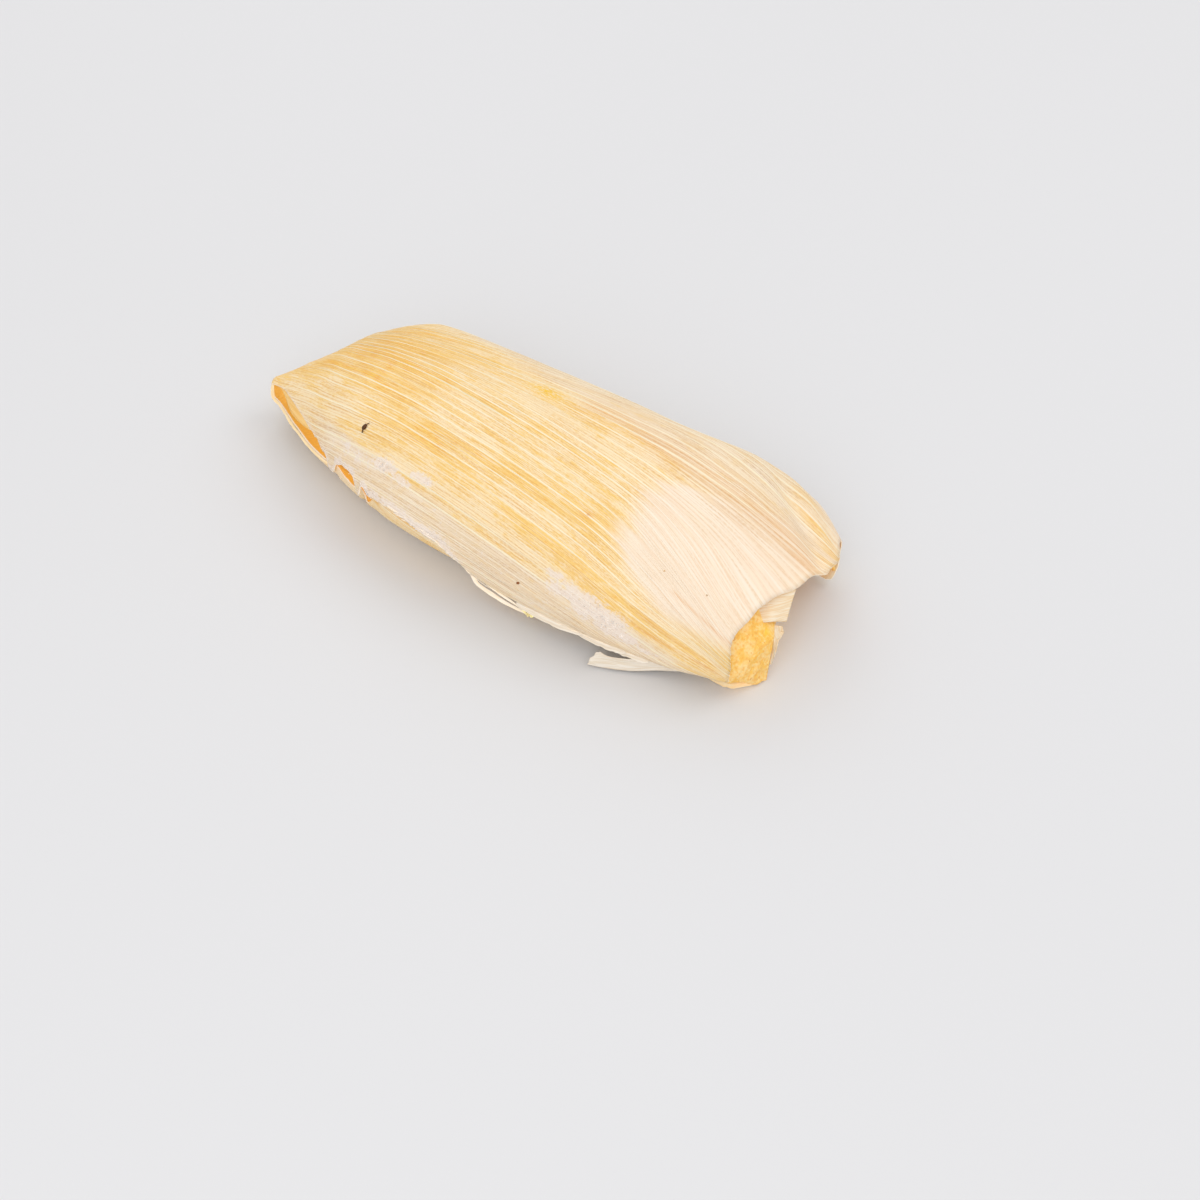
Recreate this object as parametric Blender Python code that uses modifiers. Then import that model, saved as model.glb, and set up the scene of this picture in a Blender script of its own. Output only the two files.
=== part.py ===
"""A steamed tamale in its corn husk, lying on its flat side.

The outer husk is one leaf.  Its section is an open spiral: it starts at a torn
edge low on the front, goes over the crown, down the back and under the dough,
and ends inside its own front edge.  At -X the leaf is folded into a tip whose
front stays open as a slit, and at +X it is open, with the dough showing in the
front corner.  A second leaf lies as a trough between the outer one and the dough.

Lengths are in millimetres and angles in degrees until a mesh is made.
+X runs along the tamale to its open end, +Y away from its torn edge, +Z up.
A section's angle is 0 at the front, 90 at the crown, 180 at the back and 270
on the underside, and a leaf that passes the front again goes on past 360.
"""
import bpy
import numpy as np

MM = 0.001

# ---- Driving dimensions -----------------------------------------------------
TIP_X = -72.0               # the folded tip
END_X = 72.0                # the furthest point of the open end
CROWN_Y = 1.9               # the crown line, behind the middle of the whole box
HUSK = 0.5                  # thickness of a leaf
GAP = 0.4                   # clearance between neighbouring layers
UPPER_ROUND = 2.3           # superellipse power of the section's upper half
LOWER_ROUND = 2.5           # and of its lower half

# Profiles along the length: (x, value), joined by smooth curves.
FRONT_REACH = ((-72, 1.6), (-69, 3.4), (-64, 7.8), (-55, 14.0), (-42, 22.0), (-25, 28.4),
               (0, 32.2), (25, 33.5), (45, 32), (60, 29.8), (73, 27))
BACK_REACH = ((-72, 2.2), (-69, 4.8), (-64, 11), (-55, 24.3), (-42, 32), (-25, 31),
              (0, 29.7), (25, 29.6), (45, 32.3), (60, 29.7), (73, 20.5))
CROWN_SHIFT = ((-72, -3.5), (-69, -2.5), (-64, -1), (-55, 0), (73, 0))
CROWN_HEIGHT = ((-72, 12.0), (-69, 13.7), (-64, 16.9), (-55, 22.5), (-42, 28), (-25, 30.5),
                (0, 31.5), (25, 30.5), (45, 27.5), (60, 22.5), (73, 17))
WAIST_HEIGHT = ((-72, 8.8), (-64, 10.5), (-42, 12), (-25, 12.5), (25, 12.5), (60, 9.5), (73, 8.5))
KEEL_HEIGHT = ((-72, 5.2), (-69, 3.4), (-64, 2), (-55, 0.4), (-46, -0.6), (73, -0.6))

# The outer leaf's two long edges: (x, angle).
TORN_EDGE = ((-72, 40), (-69.5, 34), (-60, 20), (-50, 2), (-45, -3), (-31, 0), (-13, 4),
             (3, -25), (15, -27), (50, -27), (63, -34), (73, -34))
TUCKED_EDGE = ((-72, 335), (-60, 330), (-50, 336), (-42, 342), (-34, 358), (-26, 371), (73, 372))
# Its end edge, round the opening: (angle, x).
END_EDGE = ((-40, 63.5), (33, 63.5), (53, 65), (70, 67), (82, 69.3), (101, 70.6), (120, 71.4),
            (150, 71.6), (180, 71.2), (200, 72), (220, 71), (231, 65), (240, 62.5), (270, 64),
            (290, 67), (308, 67.5), (325, 64.5), (338, 62.5), (372, 61.5))
DRAWN_BACK_FROM = 0.62      # share of the length where rows start to aim at the end edge
FLARE = 1.3                 # how far the torn edge stands off the body below it
FLARE_TURN = (-4.0, -28.0)  # angles where that flare starts and is full
FLARE_RISE = (-8.0, 8.0)    # and the lengths over which it comes
FLARE_FALL = (55.0, 64.0)   # and goes
TUCK_DEPTH = 1.5            # how far the tucked edge passes inside the torn one
TUCK_RISE = (-50.0, -35.0)  # the length over which the tuck begins
SLANT_DEPTH = 1.8           # more clearance where the folded end slants across the section
SLANT_FALL = (-58.0, -44.0)
TIP_CROWDING = 1.15         # rows lie closer together toward the tip
LEAF_ROWS = 38
LEAF_COLUMNS = 42           # even, so that the tip closes column to column

# The dough.  Its end closes on a short upright corner near the front.
DOUGH_START_X = -58.0
DOUGH_SHOULDER = ((-60, 64), (0, 64), (40, 59.5), (90, 54), (150, 53), (200, 54.5),
                  (260, 60), (300, 64), (320, 64))
DOUGH_CORNER_X = 69.0
DOUGH_CORNER_Y = -17.0
DOUGH_CORNER_LOW = 2.0
DOUGH_CORNER_HIGH = 9.0
CORNER_SWELL = 2.2          # how far its end bulges in front of that corner
DOUGH_NOSE = 1.2            # its blunt start lies this far ahead of its first section
DOUGH_NOSE_SIZE = 0.6       # and is this share of that section's size
DOUGH_ROWS = 22
DOUGH_COLUMNS = 32
CAP_ROWS = 5
CAP_REACH = 0.93            # share of the way to the corner that the cap's last row lies

# The inner leaf, a trough under the dough.
TROUGH_START_X = -65.0
TROUGH_END = ((205, 55), (240, 59), (280, 62.5), (318, 62.5))
TROUGH_ROWS = 30
TROUGH_COLUMNS = 14

# Loose bits of husk: each is a ribbon between two edges of (x, y, z) points.
FLAP_EDGES = (((61.5, -13.6, 16.6), (64.8, -11.0, 16.9), (69.2, -2.2, 17.2)),
              ((64.8, -12.2, 13.4), (67.0, -9.6, 12.4), (70.0, -6.0, 11.0)))
LIP_EDGES = (((69.6, -17.4, 0.9), (70.0, -15.2, 4.6), (69.0, -12.4, 8.6), (66.9, -9.6, 11.0)),
             ((70.6, -16.8, 0.9), (70.9, -14.6, 4.4), (70.9, -12.2, 8.0), (69.9, -9.2, 10.4)))
STRIP_EDGES = (((48.6, -31.0, 2.8), (44.4, -31.9, 2.6), (38.5, -34.0, 2.2), (33.5, -36.0, 1.5)),
               ((48.5, -31.4, 5.2), (44.0, -31.8, 5.2), (38.5, -32.8, 4.6), (34.2, -33.6, 3.8)))
RIBBON_ROWS = 9
RIBBON_COLUMNS = 5
RIBBON = 0.4                # thickness of a loose bit


def smooth_profile(points):
    """A monotone cubic through (position, value) pairs."""
    at = np.array([point[0] for point in points], dtype=float)
    value = np.array([point[1] for point in points], dtype=float)
    step = np.diff(at)
    rise = np.diff(value) / step
    slope = np.concatenate([rise[:1], np.zeros(len(rise) - 1), rise[-1:]])
    before, after = rise[:-1], rise[1:]
    same_way = before * after > 0.0
    mean = np.zeros_like(before)
    mean[same_way] = 2.0 / (1.0 / before[same_way] + 1.0 / after[same_way])
    slope[1:-1] = mean

    def curve(position):
        position = np.clip(position, at[0], at[-1])
        k = np.clip(np.searchsorted(at, position) - 1, 0, len(step) - 1)
        u = (position - at[k]) / step[k]
        v = 1.0 - u
        return (value[k] * (1.0 + 2.0 * u) * v * v + slope[k] * step[k] * u * v * v
                + value[k + 1] * (1.0 + 2.0 * v) * u * u - slope[k + 1] * step[k] * v * u * u)

    return curve


front_reach = smooth_profile(FRONT_REACH)
back_reach = smooth_profile(BACK_REACH)
crown_shift = smooth_profile(CROWN_SHIFT)
crown_height = smooth_profile(CROWN_HEIGHT)
waist_height = smooth_profile(WAIST_HEIGHT)
keel_height = smooth_profile(KEEL_HEIGHT)
torn_edge = smooth_profile(TORN_EDGE)
tucked_edge = smooth_profile(TUCKED_EDGE)
end_edge = smooth_profile(END_EDGE)
dough_shoulder = smooth_profile(DOUGH_SHOULDER)
trough_end = smooth_profile(TROUGH_END)


def smooth_step(low, high, value):
    u = np.clip((value - low) / (high - low), 0.0, 1.0)
    return u * u * (3.0 - 2.0 * u)


def body_point(x, angle, depth=0.0):
    """A point of the tamale's outer form, or of a layer that lies depth below it."""
    turn = np.radians(angle)
    across, up = np.cos(turn), np.sin(turn)
    power = 2.0 / np.where(up > 0.0, UPPER_ROUND, LOWER_ROUND)
    reach = np.where(across > 0.0, front_reach(x), back_reach(x))
    waist = waist_height(x)
    height = np.where(up > 0.0, crown_height(x) - waist, waist - keel_height(x))
    y = crown_shift(x) - np.sign(across) * np.maximum(reach - depth, 0.2) * np.abs(across) ** power
    z = waist + np.sign(up) * np.maximum(height - depth, 0.2) * np.abs(up) ** power
    return np.stack([x, y + CROWN_Y, np.maximum(z, depth)], axis=-1)


def tuck_share(x, angle):
    """1 where the tucked edge of the outer leaf lies inside its torn edge."""
    front = np.mod(angle + 180.0, 360.0) - 180.0
    near_front = smooth_step(-75.0, -30.0, front) * (1.0 - smooth_step(14.0, 45.0, front))
    return near_front * smooth_step(*TUCK_RISE, x)


def trough_depth(x, angle):
    """Depth of the inner leaf's outer face: clear of the outer leaf and its tuck."""
    slant = SLANT_DEPTH * (1.0 - smooth_step(*SLANT_FALL, x))
    return HUSK + GAP + TUCK_DEPTH * tuck_share(x, angle) + slant


def dough_depth(x, angle):
    """Depth of the dough: below the outer leaf, and the inner one where that lies."""
    full = np.mod(angle, 360.0)
    over_trough = smooth_step(185.0, 203.0, full) * (1.0 - smooth_step(320.0, 338.0, full))
    return trough_depth(x, angle) + (HUSK + GAP) * over_trough


def make_material(name, color, roughness):
    material = bpy.data.materials.new(name)
    material.use_nodes = True
    shader = material.node_tree.nodes["Principled BSDF"]
    shader.inputs["Base Color"].default_value = (*color, 1.0)
    shader.inputs["Roughness"].default_value = roughness
    shader.inputs["Metallic"].default_value = 0.0
    return material


def add_object(name, points, faces, material, collection):
    """A mesh object from points in millimetres."""
    mesh = bpy.data.meshes.new(name)
    mesh.from_pydata((np.asarray(points).reshape(-1, 3) * MM).tolist(), [], faces)
    mesh.materials.append(material)
    mesh.shade_smooth()
    obj = bpy.data.objects.new(name, mesh)
    collection.objects.link(obj)
    return obj


def grid_faces(rows, columns, closed=False):
    """Quads of a grid of points, closed round its columns if asked."""
    spans = columns if closed else columns - 1
    return [(r * columns + c, (r + 1) * columns + c,
             (r + 1) * columns + (c + 1) % columns, r * columns + (c + 1) % columns)
            for r in range(rows - 1) for c in range(spans)]


def ladder_faces(first, count, forward):
    """Quads that close a row of an even count of points: first to last, second to last but one."""
    faces = []
    for k in range(count // 2 - 1):
        left, right = first + k, first + count - 1 - k
        face = (left, left + 1, right - 1, right)
        faces.append(face if forward else face[::-1])
    return faces


def thicken(obj, thickness):
    """Solidify an open leaf inward from its outer face."""
    modifier = obj.modifiers.new("leaf_thickness", "SOLIDIFY")
    modifier.thickness = thickness * MM
    modifier.offset = -1.0


def make_husk(material, collection):
    """The outer leaf: a spiral section lofted from the folded tip to the open end."""
    share = np.linspace(0.0, 1.0, LEAF_ROWS)[:, None] ** TIP_CROWDING
    around = np.linspace(0.0, 1.0, LEAF_COLUMNS)[None, :]
    x = TIP_X + (END_X - TIP_X) * share * np.ones_like(around)
    first, last = torn_edge(END_X), tucked_edge(END_X)
    angle = (first + (last - first) * around + (torn_edge(x) - first) * (1.0 - around) ** 3
             + (tucked_edge(x) - last) * around ** 3)
    x = x + (end_edge(angle) - END_X) * smooth_step(DRAWN_BACK_FROM, 1.0, share)
    past_torn_edge = angle - 360.0 - torn_edge(x)
    tucked = smooth_step(-38.0, -6.0, past_torn_edge) * smooth_step(*TUCK_RISE, x)
    points = body_point(x, angle, TUCK_DEPTH * tucked)
    flare = FLARE * smooth_step(*FLARE_TURN, angle) * smooth_step(*FLARE_RISE, x)
    points[..., 1] -= flare * (1.0 - smooth_step(*FLARE_FALL, x))
    faces = grid_faces(LEAF_ROWS, LEAF_COLUMNS)
    faces += ladder_faces(0, LEAF_COLUMNS, forward=True)
    husk = add_object("husk", points, faces, material, collection)
    thicken(husk, HUSK)


def make_inner_husk(material, collection):
    """The inner leaf: a trough that shows in the slit and as a rim under the dough's end."""
    share = np.linspace(0.0, 1.0, TROUGH_ROWS)[:, None]
    angle = np.linspace(TROUGH_END[0][0], TROUGH_END[-1][0], TROUGH_COLUMNS)[None, :]
    angle = angle * np.ones_like(share)
    x = TROUGH_START_X + (trough_end(angle) - TROUGH_START_X) * share
    points = body_point(x, angle, trough_depth(x, angle))
    faces = grid_faces(TROUGH_ROWS, TROUGH_COLUMNS)
    thicken(add_object("inner_husk", points, faces, material, collection), HUSK)


def make_dough(material, collection):
    """The dough: a closed loaf that fills the husk and shows at its open end."""
    angle = np.arange(DOUGH_COLUMNS) * 360.0 / DOUGH_COLUMNS - 90.0
    angle = np.where(angle < DOUGH_SHOULDER[0][0], angle + 360.0, angle)
    shoulder = dough_shoulder(angle)
    share = np.linspace(0.0, 1.0, DOUGH_ROWS)[:, None]
    x = DOUGH_START_X + (shoulder[None, :] - DOUGH_START_X) * share
    turn = angle[None, :] * np.ones_like(share)
    side = body_point(x, turn, dough_depth(x, turn))
    blunt = side[0].mean(axis=0)
    start = blunt + (side[0] - blunt) * DOUGH_NOSE_SIZE - [DOUGH_NOSE, 0.0, 0.0]

    rim = side[-1]
    corner = np.stack([np.full(DOUGH_COLUMNS, DOUGH_CORNER_X),
                       np.full(DOUGH_COLUMNS, DOUGH_CORNER_Y + CROWN_Y),
                       np.clip(rim[:, 2], DOUGH_CORNER_LOW, DOUGH_CORNER_HIGH)], axis=-1)
    cap = []
    toward_front = 1.0 - smooth_step(-30.0, 60.0, angle)
    for step in np.linspace(0.0, CAP_REACH, CAP_ROWS)[1:]:
        row = rim + (corner - rim) * step
        row[:, 1] -= CORNER_SWELL * toward_front * np.sin(np.pi * step)
        cap.append(row)

    rows = [start, *side, *cap]
    faces = grid_faces(len(rows), DOUGH_COLUMNS, closed=True)
    last = (len(rows) - 1) * DOUGH_COLUMNS
    faces += ladder_faces(0, DOUGH_COLUMNS, forward=True)
    faces += ladder_faces(last, DOUGH_COLUMNS, forward=False)
    add_object("dough", np.array(rows), faces, material, collection)


def make_ribbon(name, edges, material, collection):
    """A loose bit of husk between two smooth edges."""
    share = np.linspace(0.0, 1.0, RIBBON_ROWS)
    sides = []
    for edge in edges:
        knots = np.linspace(0.0, 1.0, len(edge))
        sides.append(np.stack([smooth_profile(list(zip(knots, axis)))(share)
                               for axis in zip(*edge)], axis=-1))
    across = np.linspace(0.0, 1.0, RIBBON_COLUMNS)[None, :, None]
    points = sides[0][:, None, :] + (sides[1] - sides[0])[:, None, :] * across
    points[..., 1] += CROWN_Y
    faces = grid_faces(RIBBON_ROWS, RIBBON_COLUMNS)
    thicken(add_object(name, points, faces, material, collection), RIBBON)


def main():
    for obj in list(bpy.data.objects):
        bpy.data.objects.remove(obj, do_unlink=True)
    tamale = bpy.data.collections.new("tamale")
    bpy.context.scene.collection.children.link(tamale)

    cream = make_material("husk_cream", (0.87, 0.66, 0.32), 0.6)
    pale = make_material("husk_pale", (0.90, 0.76, 0.50), 0.6)
    straw = make_material("husk_straw", (0.88, 0.74, 0.48), 0.65)
    gold = make_material("corn_dough", (0.85, 0.55, 0.13), 0.8)

    make_husk(cream, tamale)
    make_inner_husk(pale, tamale)
    make_dough(gold, tamale)
    make_ribbon("inner_flap", FLAP_EDGES, straw, tamale)
    make_ribbon("end_lip", LIP_EDGES, straw, tamale)
    make_ribbon("torn_strip", STRIP_EDGES, pale, tamale)


main()
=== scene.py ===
"""The looks of a steamed tamale in its corn husk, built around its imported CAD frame.

Lengths below are in millimetres of the design and become metres through MM, which
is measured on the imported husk.  +X runs to the open end, +Y to the back, +Z up.
A point of the leaf is named by x and by its section's angle: 0 at the front, 90 at
the crown, 180 at the back, 270 underneath, and past 360 inside the torn edge.
"""

import bmesh
import bpy
import numpy as np
from mathutils import Matrix, Vector, noise


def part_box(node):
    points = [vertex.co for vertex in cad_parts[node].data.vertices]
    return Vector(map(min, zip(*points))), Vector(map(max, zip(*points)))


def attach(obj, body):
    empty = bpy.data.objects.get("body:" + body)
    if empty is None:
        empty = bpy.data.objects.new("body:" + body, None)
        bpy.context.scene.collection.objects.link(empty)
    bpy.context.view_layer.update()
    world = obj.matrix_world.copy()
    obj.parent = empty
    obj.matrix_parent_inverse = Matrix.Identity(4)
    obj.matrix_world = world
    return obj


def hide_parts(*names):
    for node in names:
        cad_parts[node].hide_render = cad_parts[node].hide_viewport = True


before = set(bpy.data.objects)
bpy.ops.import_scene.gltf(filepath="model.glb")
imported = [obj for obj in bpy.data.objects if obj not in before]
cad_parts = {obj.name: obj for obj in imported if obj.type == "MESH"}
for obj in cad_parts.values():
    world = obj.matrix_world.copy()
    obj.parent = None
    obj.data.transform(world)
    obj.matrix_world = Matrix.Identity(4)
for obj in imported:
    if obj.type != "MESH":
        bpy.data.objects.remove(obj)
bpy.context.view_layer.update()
HUSK_LOW, HUSK_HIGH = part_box("husk")

# ---- Driving dimensions, in millimetres and degrees -------------------------
DESIGN_LENGTH = 143.96      # of the husk, from the folded tip to the open end
MM = (HUSK_HIGH.x - HUSK_LOW.x) / DESIGN_LENGTH
TIP_X = HUSK_LOW.x / MM
END_X = 72
CROWN_Y = 1.9
LEAF = 0.32                 # thickness of a leaf
LOOSE_LEAF = 0.25           # and of a loose bit of it
UPPER_ROUND = 2.3
LOWER_ROUND = 2.5

# The outer form along its length: (x, value).
FRONT_REACH = ((-72, 1.6), (-69, 3.4), (-64, 7.8), (-55, 14), (-42, 21.4), (-25, 27.6),
               (0, 31.6), (25, 33.4), (45, 32), (60, 29.8), (73, 27))
BACK_REACH = ((-72, 2.2), (-69, 4.8), (-64, 11), (-55, 24.3), (-42, 32), (-25, 31),
              (0, 29.7), (25, 29.6), (45, 32.3), (60, 29.7), (73, 20.5))
CROWN_SHIFT = ((-72, -3.5), (-69, -2.5), (-64, -1), (-55, 0), (73, 0))
CROWN_HEIGHT = ((-72, 12), (-69, 13.7), (-64, 16.9), (-55, 22.5), (-42, 28), (-25, 30.5),
                (0, 31.5), (25, 30.5), (45, 27.5), (60, 22.5), (73, 17))
WAIST_HEIGHT = ((-72, 8.8), (-64, 10.5), (-42, 12), (-25, 12.5), (25, 12.5), (60, 9.5), (73, 8.5))
KEEL_HEIGHT = ((-72, 5.2), (-69, 3.4), (-64, 2), (-55, 0.4), (-46, -0.6), (73, -0.6))

# The outer leaf's edges: (x, angle) of the long ones, (angle, x) of the end.
TORN_EDGE = ((-72, 40), (-69.5, 35), (-67, 29.5), (-65, 23), (-63, 19), (-61, 14.5), (-59, 10.5),
             (-57, 7), (-55, 5), (-53, 3), (-51, 1.5), (-49, 0), (-47, 0), (-46.2, -2), (-45.6, -14),
             (-43.9, -14), (-43.2, 0), (-42, 2.5), (-40, 4.5), (-38, 5.5), (-36, 4.5), (-35.2, 1),
             (-34.7, -13), (-33.9, -13), (-33.5, 0), (-32.4, 2.5), (-31.3, 1), (-30.4, -1), (-28, 1.5),
             (-24.5, 2), (-19.5, 1), (-9, -1), (-4.5, -6), (-0.5, -15), (3, -25), (15, -27), (50, -29),
             (58, -31), (64.5, -27), (68.5, -19), (70.8, -12), (72, -7), (73, -6))
TUCKED_EDGE = ((-72, 346), (-70, 346), (-68, 344), (-66, 348.5), (-63, 353), (-60, 353), (-54, 352),
               (-47, 352), (-44, 356.5), (-43, 356), (-42, 353.7), (-40.5, 349.5), (-38.5, 347),
               (-37, 346.5), (-36, 347.5), (-35, 350.5), (-34.3, 348), (-33.3, 335), (-32.2, 338),
               (-31, 346), (-29.6, 361), (-25, 368), (-20, 371), (73, 372))
END_EDGE = ((-40, 64.4), (-20, 65.4), (10, 65), (33, 63.2), (53, 64.3), (70, 66.2), (82, 69.2),
            (93, 70.8), (103, 73), (118, 73.4), (130, 72.6), (150, 70.6), (180, 70.4), (200, 71.6),
            (220, 71), (231, 65), (240, 62.5), (270, 65), (290, 68), (300, 69.3), (306, 68.8),
            (314, 67.4), (320, 66), (330, 65), (345, 64), (372, 62.8))
DRAWN_BACK_FROM = 0.62      # share of the length past which the rows bend to the end's edge
FLARE = 1.3                 # of the lower front, beyond the outer form
FLARE_TURN = (-4, -28)
FLARE_RISE = (-8, 8)
FLARE_FALL = (56, 68)
TIP_FLARE = 1.5             # of the lower leaf's rolled rim, below the slit
TIP_FLARE_TURN = ((-80, -45), (-10, 4))
TIP_FLARE_SPAN = ((-71.5, -60), (-56, -45))
TUCK_DEPTH = 1.5            # of the tucked edge below the torn one
TUCK_RISE = (-50, -35)

# The leaf's veins and the columns of mesh between them, in millimetres across the leaf.
FRONT_SPAN = 62             # of the leaf from the crown forward
BACK_SPAN = 150             # and backward, round to the tucked edge
FINE_TO = 66                # past this the leaf lies underneath, with fewer columns
VEIN_GAP = (1.9, 2.8)
VEIN_HALF = 0.34            # from a vein's crest to its foot
FILL_PITCH = 0.45
UNDER_GAP = 5
UNDER_PITCH = 1.7
ROW_STARTS = (-52, -2)      # where the rows change pitch, past the closed end and half-way
ROW_PITCHES = (0.4, 0.7, 1.4)


# ---- Shape helpers ----------------------------------------------------------
def evenly(count):
    """Numbers spread evenly from 0 to 1."""
    return np.linspace(0, 1, count)


def smooth_profile(points):
    """A monotone cubic through (position, value) pairs."""
    at = np.array([point[0] for point in points], dtype=float)
    value = np.array([point[1] for point in points], dtype=float)
    step = np.diff(at)
    rise = np.diff(value) / step
    slope = np.concatenate([rise[:1], np.zeros(len(rise) - 1), rise[-1:]])
    before, after = rise[:-1], rise[1:]
    same_way = before * after > 0
    mean = np.zeros_like(before)
    mean[same_way] = 2 / (1 / before[same_way] + 1 / after[same_way])
    slope[1:-1] = mean

    def curve(position):
        position = np.clip(position, at[0], at[-1])
        k = np.clip(np.searchsorted(at, position) - 1, 0, len(step) - 1)
        u = (position - at[k]) / step[k]
        v = 1 - u
        return (value[k] * (1 + 2 * u) * v * v + slope[k] * step[k] * u * v * v
                + value[k + 1] * (1 + 2 * v) * u * u - slope[k + 1] * step[k] * v * u * u)

    return curve


front_reach = smooth_profile(FRONT_REACH)
back_reach = smooth_profile(BACK_REACH)
crown_shift = smooth_profile(CROWN_SHIFT)
crown_height = smooth_profile(CROWN_HEIGHT)
waist_height = smooth_profile(WAIST_HEIGHT)
keel_height = smooth_profile(KEEL_HEIGHT)
torn_edge = smooth_profile(TORN_EDGE)
tucked_edge = smooth_profile(TUCKED_EDGE)
end_edge = smooth_profile(END_EDGE)


def smooth_curves(knots):
    """A smooth curve over 0 to 1 for each axis of some evenly spaced knots."""
    share = evenly(len(knots))
    return [smooth_profile(list(zip(share, axis))) for axis in zip(*knots)]


def smooth_step(low, high, value):
    """0 at low and 1 at high, in either order."""
    u = np.clip((value - low) / (high - low), 0, 1)
    return u * u * (3 - 2 * u)


def signed(angle):
    """The same direction as an angle between -180 and 180 degrees."""
    return np.mod(angle + 180, 360) - 180


def window(value, rise, fall):
    """1 between two soft limits, each given as (start, end)."""
    return smooth_step(*rise, value) * smooth_step(*fall[::-1], value)


def bell(distance, width):
    return np.exp(-(distance / width) ** 2)


def wander(position, period, seed):
    """Smooth 1-D noise between -1 and 1."""
    table = np.random.default_rng(seed).uniform(-1, 1, 1024)
    at = np.asarray(position, dtype=float) / period
    k = np.floor(at).astype(int)
    u = smooth_step(0, 1, at - k)
    return table[k % 1024] * (1 - u) + table[(k + 1) % 1024] * u


def clouds(u, v, seed):
    """Smooth 2-D noise between -1 and 1, with one cell to a unit of u and of v."""
    table = np.random.default_rng(seed).uniform(-1, 1, (256, 256))
    i, j = np.floor(u).astype(int), np.floor(v).astype(int)
    s, t = smooth_step(0, 1, u - i), smooth_step(0, 1, v - j)
    i, j, i2, j2 = i % 256, j % 256, (i + 1) % 256, (j + 1) % 256
    return ((table[i, j] * (1 - s) + table[i2, j] * s) * (1 - t)
            + (table[i, j2] * (1 - s) + table[i2, j2] * s) * t)


def body_point(x, angle, depth=0):
    """A point of the tamale's outer form, or of a layer that lies depth below it."""
    turn = np.radians(angle)
    across, up = np.cos(turn), np.sin(turn)
    power = 2 / np.where(up > 0, UPPER_ROUND, LOWER_ROUND)
    reach = np.where(across > 0, front_reach(x), back_reach(x))
    waist = waist_height(x)
    height = np.where(up > 0, crown_height(x) - waist, waist - keel_height(x))
    y = crown_shift(x) - np.sign(across) * np.maximum(reach - depth, 0.2) * np.abs(across) ** power
    z = waist + np.sign(up) * np.maximum(height - depth, 0.2) * np.abs(up) ** power
    x = x * np.ones_like(y)
    return np.stack([x, y + CROWN_Y, np.maximum(z, depth)], axis=-1)


def outward(x, angle, depth=0):
    """The outer form's unit normal."""
    nudge = 0.3
    along = body_point(x + nudge, angle, depth) - body_point(x - nudge, angle, depth)
    around = body_point(x, angle + nudge, depth) - body_point(x, angle - nudge, depth)
    normal = np.cross(along, around)
    return normal / np.maximum(np.linalg.norm(normal, axis=-1, keepdims=True), 1e-9)


def flare(x, angle):
    """How far the leaf's lower front stands forward of the outer form."""
    low = FLARE * smooth_step(*FLARE_TURN, angle) * window(x, FLARE_RISE, FLARE_FALL)
    return low + TIP_FLARE * window(signed(angle), *TIP_FLARE_TURN) * window(x, *TIP_FLARE_SPAN)


def on_leaf(x, angle, lift=0):
    """A point a little above the outer leaf."""
    x, angle = np.asarray(x, dtype=float), np.asarray(angle, dtype=float)
    point = body_point(x, angle) + outward(x, angle) * np.asarray(lift)[..., None]
    point[..., 1] -= flare(x, angle)
    return point


MM_PER_DEGREE = 0.45        # across the leaf, for distances between marks on it


def near_path(x, angle, path, width):
    """1 on a line of (x, angle) marks, falling to 0 about width away."""
    px, py = np.asarray(x, dtype=float), np.asarray(angle, dtype=float) * MM_PER_DEGREE
    best = np.full(np.broadcast(px, py).shape, 1e9)
    for (ax, aa), (bx, ba) in zip(path[:-1], path[1:]):
        ay, by = aa * MM_PER_DEGREE, ba * MM_PER_DEGREE
        length = (bx - ax) ** 2 + (by - ay) ** 2
        t = np.clip(((px - ax) * (bx - ax) + (py - ay) * (by - ay)) / length, 0, 1)
        best = np.minimum(best, np.hypot(px - ax - t * (bx - ax), py - ay - t * (by - ay)))
    return bell(best, width)


def above_torn(x, angle):
    """How far above the torn edge a place lies, across the leaf."""
    return (angle - torn_edge(x)) * MM_PER_DEGREE


def spot(x, angle, mark, length, width):
    """1 at a mark, falling to 0 about length along the leaf and width across it."""
    across = (angle - mark[1]) * MM_PER_DEGREE
    return bell(x - mark[0], length) * bell(across, width)


# ---- Materials --------------------------------------------------------------
def rgb(red, green, blue):
    """A display colour, 0 to 255, as linear light."""
    value = np.array([red, green, blue]) / 255
    linear = np.where(value <= 0.04045, value / 12.92, ((value + 0.055) / 1.055) ** 2.4)
    return (*linear.tolist(), 1)


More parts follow.
